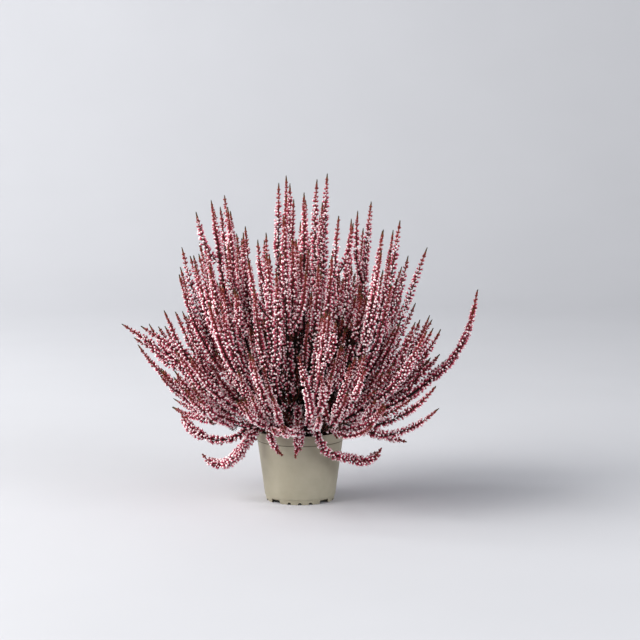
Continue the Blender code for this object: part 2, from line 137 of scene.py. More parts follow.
budLook = {
    "young": [(0.0, (138, 58, 42)), (0.40, (136, 38, 42)), (0.80, (158, 48, 64)), (1.0, (206, 120, 128))],
    "open": [(0.0, (62, 14, 24)), (0.30, (148, 30, 54)), (0.56, (214, 80, 111)), (0.68, (236, 144, 166)),
             (0.77, (254, 232, 234)), (1.0, (255, 251, 249))],
    "tone": (0.72, 1.10),
    "roughness": 0.55,
}


def makeBudMaterial():
    material, tree, shader = newMaterial("budPetals")
    shade = addNode(tree, "Attribute", {"attribute_name": "growth"}).outputs["Color"]
    split = addNode(tree, "SeparateColor", None, Color=shade).outputs
    along, chance, age = split[0], split[1], split[2]
    streak = noiseNode(tree, 1400, 2).outputs[0]
    # the pale tip starts higher on some buds than on others
    shift = addNode(tree, "MapRange", None, Value=chance, **{"To Min": -0.10, "To Max": 0.08}).outputs[0]
    blur = addNode(tree, "MapRange", None, Value=streak, **{"To Min": -0.08, "To Max": 0.08}).outputs[0]
    place = mathNode(tree, "ADD", along, mathNode(tree, "ADD", shift, blur))
    young = rampNode(tree, place, budLook["young"])
    opened = rampNode(tree, place, budLook["open"])
    colour = mixColour(tree, age, opened, young)
    low, high = budLook["tone"]
    tone = addNode(tree, "MapRange", None, Value=chance, **{"To Min": low, "To Max": high}).outputs[0]
    colour = mixColour(tree, 1.0, colour, addNode(tree, "CombineColor", None, i0=tone, i1=tone, i2=tone).outputs[0],
                       "MULTIPLY")
    tree.links.new(colour, shader.inputs["Base Color"])
    shader.inputs["Roughness"].default_value = budLook["roughness"]
    shader.inputs["Sheen Weight"].default_value = 0.15
    bumpNode(tree, shader, streak, 0.25, 0.0002)
    return material


leafLook = {
    # the darkest green stops are painted shade, taken by the leaves deep inside the bush
    "green": [(0.0, (12, 17, 11)), (0.45, (30, 40, 24)), (1.0, (84, 98, 58))],
    "tip": [(0.0, (128, 46, 36)), (0.35, (146, 78, 42)), (0.62, (92, 80, 38)), (1.0, (36, 52, 24))],
    "roughness": 0.5,
}


def makeLeafMaterial():
    material, tree, shader = newMaterial("scaleLeaves")
    shade = addNode(tree, "Attribute", {"attribute_name": "growth"}).outputs["Color"]
    split = addNode(tree, "SeparateColor", None, Color=shade).outputs
    speck = noiseNode(tree, 900, 3).outputs[0]
    chance = mathNode(tree, "ADD", mathNode(tree, "MULTIPLY", split[1], 0.7), mathNode(tree, "MULTIPLY", speck, 0.3))
    green = rampNode(tree, chance, leafLook["green"])
    tip = rampNode(tree, split[0], leafLook["tip"])
    tree.links.new(mixColour(tree, split[2], green, tip), shader.inputs["Base Color"])
    shader.inputs["Roughness"].default_value = leafLook["roughness"]
    bumpNode(tree, shader, speck, 0.3, 0.0003)
    return material


# the bark darkens from the tip down: older bark is darker, and the low colour is darker still as painted shade for the
# inside of the bush
stemLook = {"low": (34, 26, 19), "mid": (78, 38, 28), "high": (150, 60, 44), "roughness": 0.8}


def makeStemMaterial():
    material, tree, shader = newMaterial("stemBark")
    shade = addNode(tree, "Attribute", {"attribute_name": "growth"}).outputs["Color"]
    split = addNode(tree, "SeparateColor", None, Color=shade).outputs
    bark = noiseNode(tree, 500, 4, 0.7).outputs[0]
    place = mathNode(tree, "ADD", split[0], mathNode(tree, "MULTIPLY", mathNode(tree, "SUBTRACT", bark, 0.5), 0.5))
    stops = [(0.0, stemLook["low"]), (0.5, stemLook["mid"]), (1.0, stemLook["high"])]
    tree.links.new(rampNode(tree, place, stops), shader.inputs["Base Color"])
    shader.inputs["Roughness"].default_value = stemLook["roughness"]
    bumpNode(tree, shader, bark, 0.5, 0.0004)
    return material


potLook = {
    "plastic": [(0.25, (163, 157, 139)), (0.5, (172, 166, 148)), (0.75, (181, 175, 157))],
    "dust": (122, 110, 90),
    # painted shade for the dark line in the step under the rim band
    "step": (84, 78, 64),
    "roughness": (0.42, 0.6),
}


def makePotMaterial():
    material, tree, shader = newMaterial("potPlastic")
    cloud = noiseNode(tree, 22, 4, 0.6).outputs[0]
    grain = noiseNode(tree, 900, 2).outputs[0]
    plain = rampNode(tree, cloud, potLook["plastic"])
    # a little compost dust at the foot
    height = addNode(tree, "SeparateXYZ", None, Vector=addNode(tree, "TexCoord").outputs["Object"]).outputs[2]
    foot = addNode(tree, "MapRange", None, Value=height, **{"From Min": 0.010, "From Max": 0.0}).outputs[0]
    dirt = mathNode(tree, "MULTIPLY", foot, mathNode(tree, "MULTIPLY", noiseNode(tree, 160, 4, 0.7).outputs[0], 0.35))
    colour = mixColour(tree, dirt, plain, (*srgb(potLook["dust"]), 1))
    # and painted shade: a dark line in the step under the rim band, where the band casts its shadow
    step = potHigh.z - rimBand
    away = mathNode(tree, "ABSOLUTE", mathNode(tree, "SUBTRACT", height, step - 0.5 * mm), 0.0)
    line = addNode(tree, "MapRange", None, Value=away, **{"From Min": 0.4 * mm, "From Max": 0.9 * mm,
                                                         "To Min": 0.75, "To Max": 0.0}).outputs[0]
    colour = mixColour(tree, line, colour, (*srgb(potLook["step"]), 1))
    tree.links.new(colour, shader.inputs["Base Color"])
    rough = addNode(tree, "MapRange", None, Value=cloud, **{"To Min": potLook["roughness"][0],
                                                           "To Max": potLook["roughness"][1]}).outputs[0]
    tree.links.new(rough, shader.inputs["Roughness"])
    shader.inputs["Specular IOR Level"].default_value = 0.35
    bumpNode(tree, shader, grain, 0.12, 0.0002)
    return material


peatLook = {"peat": [(0.2, (22, 15, 10)), (0.5, (46, 32, 22)), (0.8, (84, 62, 44))], "roughness": 0.95}


def makePeatMaterial():
    material, tree, shader = newMaterial("peatCompost")
    crumb = noiseNode(tree, 420, 5, 0.7).outputs[0]
    patch = noiseNode(tree, 60, 3).outputs[0]
    place = mathNode(tree, "ADD", mathNode(tree, "MULTIPLY", crumb, 0.7), mathNode(tree, "MULTIPLY", patch, 0.3))
    tree.links.new(rampNode(tree, place, peatLook["peat"]), shader.inputs["Base Color"])
    shader.inputs["Roughness"].default_value = peatLook["roughness"]
    bumpNode(tree, shader, crumb, 0.8, 0.001)
    return material


materials = {
    "stem": makeStemMaterial(),
    "leaf": makeLeafMaterial(),
    "bud": makeBudMaterial(),
    "pot": makePotMaterial(),
    "peat": makePeatMaterial(),
}
print("materials made:", ", ".join(materials))


# Routes of the shoots, read from the rings of corners of each solid in the frame

def solidCorners(node):
    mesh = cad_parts[node].data
    places = np.empty(len(mesh.vertices) * 3, np.float32)
    mesh.vertices.foreach_get("co", places)
    corners, same = np.unique(places.reshape(-1, 3).astype(float).round(6), axis=0, return_inverse=True)
    same = same.ravel()
    near = [set() for _ in corners]
    for polygon in mesh.polygons:
        loop = [int(same[v]) for v in polygon.vertices]
        for a, b in zip(loop, loop[1:] + loop[:1]):
            near[a].add(b)
            near[b].add(a)
    return corners, near


def ringsFrom(start, near):
    # each ring is the four corners next to the ring before it, until the stem forks or ends
    seen, rings = set(start), [list(start)]
    while True:
        following = {b for a in rings[-1] for b in near[a]} - seen
        if len(following) != 4:
            return rings
        seen |= following
        rings.append(sorted(following))


def readRoutes(node, rootReach=0.05):
    corners, near = solidCorners(node)
    inner = [v for v in range(len(corners)) if np.hypot(*corners[v][:2]) < rootReach]
    root = ringsFrom(sorted(inner, key=lambda v: corners[v][2])[:4], near)
    tips = []
    for v in range(len(corners)):
        if len(near[v]) == 4 and v not in root[0]:
            rings = ringsFrom([v], near)
            if len(rings) > 3:
                tips.append(rings[::-1])
    used = {v for ring in root for v in ring}
    routes = []
    for rings in tips:
        if used & set(rings[0]) and len(tips) > 1:
            routes.append(rings)  # the side spike, from the face of the stem that it leaves
        else:
            fresh = [ring for ring in rings if not used & set(ring)]
            routes.insert(0, root + fresh)
    return [ringPoints(corners, rings) for rings in routes]


def ringPoints(corners, rings):
    centres = np.array([corners[ring].mean(0) for ring in rings])
    reach = np.array([np.linalg.norm(corners[ring] - corners[ring].mean(0), axis=1).max() for ring in rings])
    return centres, reach


def smoothLine(points, step=0.0015):
    # a Catmull-Rom line through the points, cut into even steps
    ends = np.vstack([points[0] * 2 - points[1], points, points[-1] * 2 - points[-2]])
    fine = []
    for a, b, c, d in zip(ends, ends[1:], ends[2:], ends[3:]):
        t = np.linspace(0, 1, 12, endpoint=False)[:, None]
        fine.append(0.5 * (2 * b + (c - a) * t + (2 * a - 5 * b + 4 * c - d) * t**2 + (3 * b - a - 3 * c + d) * t**3))
    line = np.vstack(fine + [points[-1:]])
    along = np.concatenate([[0], np.cumsum(np.linalg.norm(np.diff(line, axis=0), axis=1))])
    even = np.linspace(0, along[-1], max(4, int(along[-1] / step)))
    return np.stack([np.interp(even, along, line[:, axis]) for axis in range(3)], 1), even


def unit(vectors):
    return vectors / np.maximum(np.linalg.norm(vectors, axis=-1, keepdims=True), 1e-9)


class Twig:
    # a line with its length, its way ahead and two side ways at each point, and where its flowers start
    def __init__(self, points, flowersFrom, thick, kind):
        self.line, self.along = smoothLine(np.asarray(points, float))
        self.length = self.along[-1]
        self.ahead = unit(np.gradient(self.line, axis=0))
        side = np.cross(self.ahead[0], unit(rng.normal(0, 1, 3)))
        self.side = np.empty_like(self.line)
        for number, ahead in enumerate(self.ahead):
            side = side - ahead * (side @ ahead)
            side = side / np.linalg.norm(side)
            self.side[number] = side
        self.other = np.cross(self.ahead, self.side)
        self.flowersFrom, self.thick, self.kind = flowersFrom, thick, kind

    def at(self, places):
        # point, ahead, side and other at distances along the twig
        pick = [np.stack([np.interp(places, self.along, field[:, axis]) for axis in range(3)], 1)
                for field in (self.line, self.ahead, self.side, self.other)]
        return pick[0], unit(pick[1]), unit(pick[2]), unit(pick[3])


# Small shapes that are copied: their corners, their triangles, and how far along each corner lies

def ringShape(profile, sides, squash=1.0):
    corners, faces, along = [], [], []
    for height, radius in profile:
        for corner in range(sides):
            angle = 2 * math.pi * corner / sides
            corners.append((radius * math.cos(angle), squash * radius * math.sin(angle), height))
            along.append(height)
    for ring in range(len(profile) - 1):
        for corner in range(sides):
            a, b = ring * sides + corner, ring * sides + (corner + 1) % sides
            faces += [(a, b, b + sides), (a, b + sides, a + sides)]
    top = len(corners)
    corners.append((0, 0, 1))
    along.append(1)
    faces += [(top - sides + corner, top - sides + (corner + 1) % sides, top) for corner in range(sides)]
    return np.array(corners, float), np.array(faces), np.array(along, float)


def leafShape():
    # a narrow leaf with a keel at its back
    corners = [(0, 0, 0), (-0.5, 0.12, 0.42), (0.5, 0.12, 0.42), (0, -0.22, 0.40), (0, 0, 1)]
    faces = [(0, 1, 2), (1, 4, 2), (0, 2, 3), (2, 4, 3), (0, 3, 1), (3, 4, 1)]
    return np.array(corners, float), np.array(faces), np.array([0, 0.42, 0.42, 0.4, 1])


def scaleShape():
    # a tiny leaf, folded along its middle
    corners = [(0, 0.1, 0), (-0.5, -0.1, 0.45), (0, 0.15, 1), (0.5, -0.1, 0.45)]
    return np.array(corners, float), np.array([(0, 1, 2), (0, 2, 3)]), np.array([0, 0.45, 1, 0.45])


budShape = ringShape([(0.0, 0.2), (0.45, 0.5), (0.84, 0.43)], 4)
innerBudShape = ringShape([(0.0, 0.25), (0.80, 0.5)], 4)
leaf = leafShape()
scaleLeaf = scaleShape()


class Bundle:
    # collects many small copies into one mesh
    def __init__(self):
        self.corners, self.faces, self.growth, self.kinds = [], [], [], []
        self.count, self.buds = 0, 0

    def add(self, corners, faces, growth, kind):
        self.corners.append(corners)
        self.faces.append(faces + self.count)
        self.growth.append(growth)
        self.kinds.append(np.full(len(faces), kind))
        self.count += len(corners)

    def addCopies(self, shape, origins, up, face, width, length, chance, age, kind):
        # each copy stands at its origin, with its length along up and its front towards face
        corners, faces, along = shape
        copies = len(origins)
        if not copies:
            return
        across = unit(np.cross(face, up))
        front = np.cross(up, across)
        width, length = np.broadcast_to(width, copies), np.broadcast_to(length, copies)
        placed = (origins[:, None] + corners[None, :, :1] * (across * width[:, None])[:, None]
                  + corners[None, :, 1:2] * (front * width[:, None])[:, None]
                  + corners[None, :, 2:] * (up * length[:, None])[:, None])
        growth = np.empty((copies, len(corners), 3))
        growth[..., 0] = along
        growth[..., 1] = np.broadcast_to(chance, copies)[:, None]
        growth[..., 2] = np.broadcast_to(age, copies)[:, None]
        steps = np.arange(copies)[:, None, None] * len(corners)
        self.add(placed.reshape(-1, 3), (faces[None] + steps).reshape(-1, 3), growth.reshape(-1, 3), kind)

    def make(self, name, slots):
        corners, faces = np.vstack(self.corners), np.vstack(self.faces)
        mesh = bpy.data.meshes.new(name)
        mesh.vertices.add(len(corners))
        mesh.vertices.foreach_set("co", corners.astype(np.float32).ravel())
        mesh.loops.add(len(faces) * 3)
        mesh.loops.foreach_set("vertex_index", faces.astype(np.int32).ravel())
        mesh.polygons.add(len(faces))
        mesh.polygons.foreach_set("loop_start", np.arange(0, len(faces) * 3, 3, dtype=np.int32))
        mesh.polygons.foreach_set("use_smooth", np.ones(len(faces), bool))
        for slot in slots:
            mesh.materials.append(materials[slot])
        mesh.polygons.foreach_set("material_index", np.concatenate(self.kinds).astype(np.int32))
        growth = np.ones((len(corners), 4), np.float32)
        growth[:, :3] = np.vstack(self.growth)
        mesh.color_attributes.new("growth", "FLOAT_COLOR", "POINT").data.foreach_set("color", growth.ravel())
        mesh.update(calc_edges=True)
        mesh.validate()
        piece = bpy.data.objects.new(name, mesh)
        bpy.context.scene.collection.objects.link(piece)
        return piece


stemKind, leafKind, budKind = 0, 1, 2

# Flowering shoots

shootPlan = {
    "stemBelowTip": (0.0, 8 * mm, 26 * mm, 160 * mm),
    "stemRadius": (0.35 * mm, 0.75 * mm, 1.05 * mm, 1.25 * mm),  # at those distances below the tip
    "stemStep": 6 * mm,
    "stemSides": 5,
    "nodeStep": 3.1 * mm,  # from one pair of buds to the next
    # what the buds are like at these distances below the tip of the shoot
    "belowTip": (10 * mm, 24 * mm, 42 * mm, 80 * mm),
    "budLength": (2.8 * mm, 4.5 * mm, 5.8 * mm, 6.3 * mm),
    "budWidth": (1.8 * mm, 2.6 * mm, 3.1 * mm, 3.3 * mm),
    "budTilt": (40, 46, 52, 60),  # degrees from the stem
    "budStalk": (0.0, 0.1 * mm, 0.4 * mm, 1.2 * mm),
    "budYouth": (1.0, 0.50, 0.05, 0.0),
    "moreBuds": (0.0, 0.10, 0.32, 0.36),  # chance of each further bud at a node
    "deep": (-40 * mm, 0.35, 240 * mm),  # inside this cone and below this height there are leaves and few buds
    "bareLevel": (115 * mm, 270 * mm),
    "bareShare": (0.5, -1.05),  # of the wave that makes the bare patches, at those two heights
    "bareReach": (80 * mm, 125 * mm),  # and only so near the middle
    "barePatch": 5.5 * mm,
    "bareBelowTip": 62 * mm,
    "inner": (60 * mm, 0.80, 400 * mm),  # and inside this one the buds are plainer
    "greenTip": (8 * mm, 13 * mm),
    "tipLeaf": (1.7 * mm, 3.2 * mm),  # width and length
    "bract": (0.9 * mm, 2.4 * mm),
    "bractStep": 3.1 * mm,
}

sprigPlan = {
    "length": (45 * mm, 190 * mm),
    "leaves": (-0.08, 0.70),  # where it leaves the shoot, as shares of the flowering length
    "besidePot": 5 * mm,
    "overBox": 1 * mm,  # over the box round the solids
}

crownPlan = {
    "number": 2,
    "lowest": 30 * mm,  # along the shoot
    "length": (28 * mm, 58 * mm),
    "tipAbove": 112 * mm,
}

greenPlan = {
    "number": (7, 11),  # green twigs on the bare foot of each shoot
    "length": (16 * mm, 36 * mm),
    "leafStep": 1.8 * mm,
    "leafLength": (2.8 * mm, 4.2 * mm),
    "leafWidth": 1.3 * mm,
    "lowest": 91 * mm,
    "besidePot": 3 * mm,
    "spreading": 6,
}


def addStem(bundle, twig):
    steps = max(3, int(twig.length / shootPlan["stemStep"]))
    places = np.linspace(0, twig.length - 1 * mm, steps)
    point, ahead, side, other = twig.at(places)
    # share is 0 low on the stem and 1 at its tip; the low end takes the darkest bark, partly painted shade
    share = 1 - np.clip((twig.length - places) / (140 * mm), 0, 1)
    radius = np.interp(twig.length - places, shootPlan["stemBelowTip"], shootPlan["stemRadius"]) * twig.thick
    sides = shootPlan["stemSides"] if twig.thick > 0.6 else 3
    turn = 2 * np.pi * np.arange(sides) / sides
    ring = (point[:, None] + radius[:, None, None] * (np.cos(turn)[None, :, None] * side[:, None]
                                                      + np.sin(turn)[None, :, None] * other[:, None]))
    a = (np.arange(steps - 1)[:, None] * sides + np.arange(sides)).ravel()
    b = (np.arange(steps - 1)[:, None] * sides + (np.arange(sides) + 1) % sides).ravel()
    faces = np.vstack([np.stack([a, b, b + sides], 1), np.stack([a, b + sides, a + sides], 1)])
    growth = np.zeros((steps, sides, 3))
    growth[..., 0] = share[:, None]
    growth[..., 1] = rng.random()
    bundle.add(ring.reshape(-1, 3), faces, growth.reshape(-1, 3), stemKind)


def sideway(side, other, angle):
    return np.cos(angle)[:, None] * side + np.sin(angle)[:, None] * other


def addGreenTip(bundle, twig):
    # small leaves that lie close to the stem and hide it, down to where the first buds are
    tip = rng.uniform(*shootPlan["greenTip"]) * min(1, twig.length / (50 * mm)) * twig.kind["tip"]
    places = np.arange(twig.length - tip - 3 * mm, twig.length - 1.2 * mm, 1.5 * mm)
    share = np.clip((places - places[0]) / (tip + 2 * mm), 0, 1)
    width, length = shootPlan["tipLeaf"]
    for leafTurn in range(3):
        point, ahead, side, other = twig.at(places)
        angle = np.pi / 1.5 * leafTurn + np.pi / 3 * (np.arange(len(places)) % 2) + rng.uniform(-0.2, 0.2, len(places))
        out = sideway(side, other, angle)
        up = unit(ahead + out * (0.42 - 0.30 * share[:, None]))
        size = (1 - 0.4 * share**2) * rng.uniform(0.85, 1.15, len(places))
        origin = point + out * (0.7 * mm * (1 - 0.7 * share[:, None]))
        bundle.addCopies(leaf, origin, up, out, width * size, length * size, rng.random(len(places)), 1.0, leafKind)
        bundle.growth[-1][:, 0] = np.repeat(share, len(leaf[0]))
    return tip


def isInside(points, cone):
    low, slope, high = shootPlan[cone]
    edge = slope * (points[:, 2] - low) + rng.uniform(-10, 10, len(points)) * mm
    return (np.hypot(points[:, 0], points[:, 1]) < edge) & (points[:, 2] < high)


def throughPot(points, spare):
    # which points lie in the wall or the rim of the pot, or nearer to it than spare
    reach = np.hypot(points[:, 0], points[:, 1])
    wall = (reach > potHigh.x - 4 * mm - spare) & (reach < potHigh.x + spare)
    return wall & (points[:, 2] < potHigh.z + spare)


def isBare(twig, places, patch):
    # deep inside the bush, and in patches low down on the long shoots
    point = twig.at(places)[0]
    level, share = shootPlan["bareLevel"], shootPlan["bareShare"]
    wave = np.sin(places / shootPlan["barePatch"] + patch)
    low = (wave < np.interp(point[:, 2], level, share)) & (twig.length - places > shootPlan["bareBelowTip"])
    low = low & (np.hypot(point[:, 0], point[:, 1]) < np.interp(point[:, 2], level, shootPlan["bareReach"]))
    return (isInside(point, "deep") | low) & twig.kind["bare"]


def addBuds(bundle, twig, tip):
    start, end = twig.flowersFrom, twig.length - tip + 1 * mm
    if end - start < 6 * mm:
        return
    p = shootPlan
    places = np.arange(end, start, -p["nodeStep"])
    places = places + rng.uniform(-0.10, 0.10, len(places)) * p["nodeStep"]
    below = (twig.length - places) / (twig.kind["taper"] * np.clip(twig.length / (110 * mm), 0.6, 1))
    look = {key: np.interp(below, p["belowTip"], p[key])
            for key in ("budLength", "budWidth", "budTilt", "budStalk", "budYouth", "moreBuds")}
    patch = rng.uniform(0, 2 * np.pi)
    inside = isBare(twig, places, patch)
    plain = isInside(twig.at(places)[0], "inner")
    for copy in range(twig.kind["round"]):
        # two opposite buds at every node, and up to three more between them lower down
        chance = 0.97 if copy < 2 else look["moreBuds"] * twig.kind["full"]
        keep = rng.random(len(places)) < chance * np.where(inside, 0.12, 1)
        point, ahead, side, other = (field[keep] for field in twig.at(places))
        here = {key: value[keep] for key, value in look.items()}
        number = np.arange(len(places))[keep]
        count = len(number)
        angle = np.pi / 2 * (number % 2) + (0, 1, 0.4, 1.4, 0.7, 1.7)[copy] * np.pi + rng.normal(0, 0.22, count)
        out = sideway(side, other, angle)
        tilt = np.radians(here["budTilt"] + rng.normal(0, 8, count))
        up = unit(ahead * np.cos(tilt)[:, None] + out * np.sin(tilt)[:, None])
        size = rng.uniform(0.86, 1.12, count) * (0.92 if copy > 1 else 1)
        stalk = here["budStalk"] * rng.uniform(0.3, 1.5, count)
        lift = rng.uniform(-0.5, 0.5, count) * mm if copy < 2 else rng.uniform(-1.9, 1.9, count) * mm
        origin = point + out * (0.5 * mm) + ahead * lift[:, None] + up * stalk[:, None]
        reach = up * (here["budLength"] * size)[:, None]
        free = ~(throughPot(origin + reach, 0.5 * mm) | throughPot(origin + reach * 0.5, 0.8 * mm))
        for shape, some in ((innerBudShape, plain[keep] & free), (budShape, ~plain[keep] & free)):
            bundle.addCopies(shape, origin[some], up[some], ahead[some], (here["budWidth"] * size)[some],
                             (here["budLength"] * size)[some], rng.random(some.sum()), here["budYouth"][some],
                             budKind)
            bundle.buds += int(some.sum())
    # small leaves between the buds, and larger ones deep inside the bush
    places = np.arange(start - 8 * mm, end, p["bractStep"])
    places = places + rng.uniform(-0.4, 0.4, len(places)) * p["bractStep"]
    inside = isBare(twig, places, patch)
    for copy in range(5):
        keep = inside | (copy == 0)
        point, ahead, side, other = (field[keep] for field in twig.at(places))
        out = sideway(side, other, rng.uniform(0, 2 * np.pi, keep.sum()))
        up = unit(ahead + out * rng.uniform(0.35, 1.0, keep.sum())[:, None])
        larger = np.where(inside[keep], 2.0, 1.0)
        width, length = p["bract"][0] * larger, p["bract"][1] * larger
        warm = np.clip(1 - (twig.length - places[keep]) / (70 * mm), 0, 0.7) * (larger < 1.2)
        # leaves deep inside the bush take only the dark end of the green ramp, as painted shade
        chance = rng.random(keep.sum()) * np.where(inside[keep], 0.45, 1.0)
        bundle.addCopies(scaleLeaf, point + out * 0.5 * mm, up, out, width, length, chance, warm, leafKind)


def addGreenTwig(bundle, start, way, length):
    # a short twig set with pairs of tiny dark leaves
    bend = unit(rng.normal(0, 1, 3)) * 0.25 + np.array([0, 0, 0.35])
    points = [start, start + way * length * 0.5, start + (unit(way + bend)) * length]
    twig = Twig(points, 0, 0.5, None)
    if throughPot(twig.line, greenPlan["besidePot"]).any():
        return
    addStem(bundle, twig)
    places = np.arange(1.5 * mm, twig.length, greenPlan["leafStep"])
    for pair in (0, 1):
        point, ahead, side, other = twig.at(places)
        angle = np.pi * pair + np.pi / 2 * (np.arange(len(places)) % 2) + rng.normal(0, 0.25, len(places))
        out = sideway(side, other, angle)
        up = unit(ahead + out * rng.uniform(0.5, 1.1, len(places))[:, None])
        size = rng.uniform(*greenPlan["leafLength"], len(places)) * (1 - 0.4 * (places / twig.length)**2)
        bundle.addCopies(scaleLeaf, point + out * 0.3 * mm, up, out, greenPlan["leafWidth"], size,
                         rng.random(len(places)), 0.0, leafKind)


def addSprigs(twig):
    # smaller flowering spikes that leave a shoot and run up beside it
    made = []
    flowering = twig.length - twig.flowersFrom
    for _ in range(rng.integers(*twig.kind["sprigs"])):
        start = max(12 * mm, twig.flowersFrom + flowering * rng.uniform(*sprigPlan["leaves"]))
        length = min(rng.uniform(*sprigPlan["length"]), (twig.length - start) * 0.92)
        if length < 26 * mm:
            continue
        angle = rng.uniform(0, 2 * np.pi)
        away = rng.uniform(*twig.kind["away"]) * min(1, length / (80 * mm))
        places = start + length * np.array([0, 0.12, 0.35, 0.68, 0.95])
        point, ahead, side, other = twig.at(places)
        out = math.cos(angle) * side + math.sin(angle) * other
        points = point + out * (away * np.array([0, 0.42, 0.80, 0.98, 1.06]))[:, None]
        sprig = Twig(points, 7 * mm, 0.8, twig.kind)
        low, high = (np.array(corner) for corner in cadBox)
        spare = sprigPlan["overBox"]
        inBox = ((sprig.line > low - spare) & (sprig.line < high + spare)).all()
        if inBox and not throughPot(sprig.line, sprigPlan["besidePot"]).any():
            made.append(sprig)
    return made


def addCrownSprigs(twig):
    # short flowering sprigs low down, between the green twigs
    made = []
    for _ in range(crownPlan["number"]):
        place = rng.uniform(crownPlan["lowest"], max(twig.flowersFrom, crownPlan["lowest"] + 8 * mm))
        point, ahead, side, other = (field[0] for field in twig.at(np.array([place])))
        angle = rng.uniform(0, 2 * np.pi)
        way = unit(ahead * 0.6 + math.cos(angle) * side + math.sin(angle) * other)
        length = rng.uniform(*crownPlan["length"])
        turn = unit(way + ahead * 0.5 + np.array([0, 0, 0.7]))
        points = np.array([point, point + way * length * 0.4, point + way * length * 0.55 + turn * length * 0.5])
        sprig = Twig(points, 4 * mm, 0.7, {**twig.kind, "bare": False})
        if points[-1][2] > crownPlan["tipAbove"] and not throughPot(sprig.line, sprigPlan["besidePot"]).any():
            made.append(sprig)
    return made


shootKinds = {
    # how full its nodes are, how many sprigs at least and fewer than how many, how long its green tip is, how
    # slowly its buds get larger from the tip down, how far its sprigs stand away, where its buds start if not where
    # the solid's do, how many buds go round a node, and whether it is bare deep inside and in patches low down
    "spike": {"full": 1.0, "sprigs": (4, 7), "tip": 1.0, "taper": 1.0, "away": (9 * mm, 28 * mm),
              "from": None, "round": 5, "bare": True},
    "spray": {"full": 1.1, "sprigs": (2, 5), "tip": 0.8, "taper": 0.8, "away": (9 * mm, 22 * mm),
              "from": 38 * mm, "round": 5, "bare": True},
    "trail": {"full": 1.9, "sprigs": (1, 4), "tip": 0.35, "taper": 0.45, "away": (3 * mm, 9 * mm),
              "from": 24 * mm, "round": 6, "bare": False},
}


def addFoliage(bundle, twig):
    # green twigs round the bare foot of a shoot
    low, high = greenPlan["number"]
    for _ in range(rng.integers(low, high)):
        place = rng.uniform(12 * mm, max(24 * mm, twig.flowersFrom + 22 * mm))
        point, ahead, side, other = (field[0] for field in twig.at(np.array([place])))
        angle = rng.uniform(0, 2 * np.pi)
        way = unit(ahead * 0.7 + (math.cos(angle) * side + math.sin(angle) * other) * rng.uniform(0.5, 1.2))
        if point[2] > greenPlan["lowest"]:
            addGreenTwig(bundle, point, way, rng.uniform(*greenPlan["length"]))
    # and a few that spread over the compost towards the rim
    for _ in range(greenPlan["spreading"]):
        place = rng.uniform(12 * mm, 22 * mm)
        point = twig.at(np.array([place]))[0][0]
        angle = math.atan2(point[1], point[0]) + rng.normal(0, 0.7)
        way = unit(np.array([math.cos(angle), math.sin(angle), rng.uniform(0.35, 1.1)]))
        addGreenTwig(bundle, point, way, rng.uniform(*greenPlan["length"]))


def makeFloweringShoot(node):
    kind = shootKinds[node.split("_")[0]]
    routes = readRoutes(node)
    bundle = Bundle()
    twigs = []
    for number, (centres, reach) in enumerate(routes):
        along = np.concatenate([[0], np.cumsum(np.linalg.norm(np.diff(centres, axis=0), axis=1))])
        buds = along[np.argmax(reach > 2.4 * mm)] if kind["from"] is None else kind["from"]
        twigs.append(Twig(centres, buds - 4 * mm, 1.0 if number == 0 else 0.9, kind))
    for twig in twigs[:2]:
        twigs = twigs + addSprigs(twig)
    if node.startswith("sp"):
        twigs = twigs + addCrownSprigs(twigs[0])
    for twig in twigs:
        addStem(bundle, twig)
        addBuds(bundle, twig, addGreenTip(bundle, twig))
    addFoliage(bundle, twigs[0])
    piece = bundle.make(node + ".flowers", ["stem", "leaf", "bud"])
    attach(piece, "root")
    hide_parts(node)
    return len(np.concatenate(bundle.kinds)), bundle.buds


triangles, budCount = 0, 0
for node in sorted(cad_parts):
    if node.split("_")[0] in shootKinds:
        counted = makeFloweringShoot(node)
        triangles, budCount = triangles + counted[0], budCount + counted[1]
print("flowering shoots made:", triangles, "triangles,", budCount, "buds")


def makeLeafyShoot(node):
    bundle = Bundle()
    centres, reach = readRoutes(node)[0]
    twig = Twig(centres, 0, 0.9, None)
    addStem(bundle, twig)
    for place in np.arange(12 * mm, twig.length - 3 * mm, 4.5 * mm):
        point, ahead, side, other = (field[0] for field in twig.at(np.array([place])))
        angle = rng.uniform(0, 2 * np.pi)
        way = unit(ahead + (math.cos(angle) * side + math.sin(angle) * other) * rng.uniform(0.6, 1.1))
        addGreenTwig(bundle, point, way, rng.uniform(8, 17) * mm)
    point, ahead, side, other = (field[0] for field in twig.at(np.array([twig.length - 8 * mm])))
    addGreenTwig(bundle, point, ahead, 9 * mm)
    piece = bundle.make(node + ".leaves", ["stem", "leaf"])
    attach(piece, "root")
    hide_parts(node)


for node in sorted(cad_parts):
    if node.startswith("leafy"):
        makeLeafyShoot(node)
print("leafy shoots made")


# Pot

potPlan = {
    "sides": 144,
    "height": potHigh.z,
    "lipRadius": potHigh.x,
    "rimRadius": potHigh.x - 0.7 * mm,
    "bandHeight": rimBand,
    "bandStep": 1.3 * mm,
    "wall": 1.3 * mm,
    "footHeight": 7.0 * mm,
    "footInset": 0.8 * mm,
    "footRing": 2.6 * mm,
    "baseRadius": 48.25 * mm,
    "underside": 2.8 * mm,
    "wideNotch": (17.5 * mm, 14.5 * mm, 5.2 * mm),  # width at the bottom, width at the top, height
    "smallNotch": (5.6 * mm, 3.1 * mm),
    "smallNotchStep": 18,
    "drain": (3.5 * mm, 22 * mm),
}


def potWall(height):
    p = potPlan
    top = p["rimRadius"] - p["bandStep"]
    share = (height - p["footHeight"]) / (p["height"] - p["bandHeight"] - p["footHeight"])
    return p["baseRadius"] + (top - p["baseRadius"]) * share


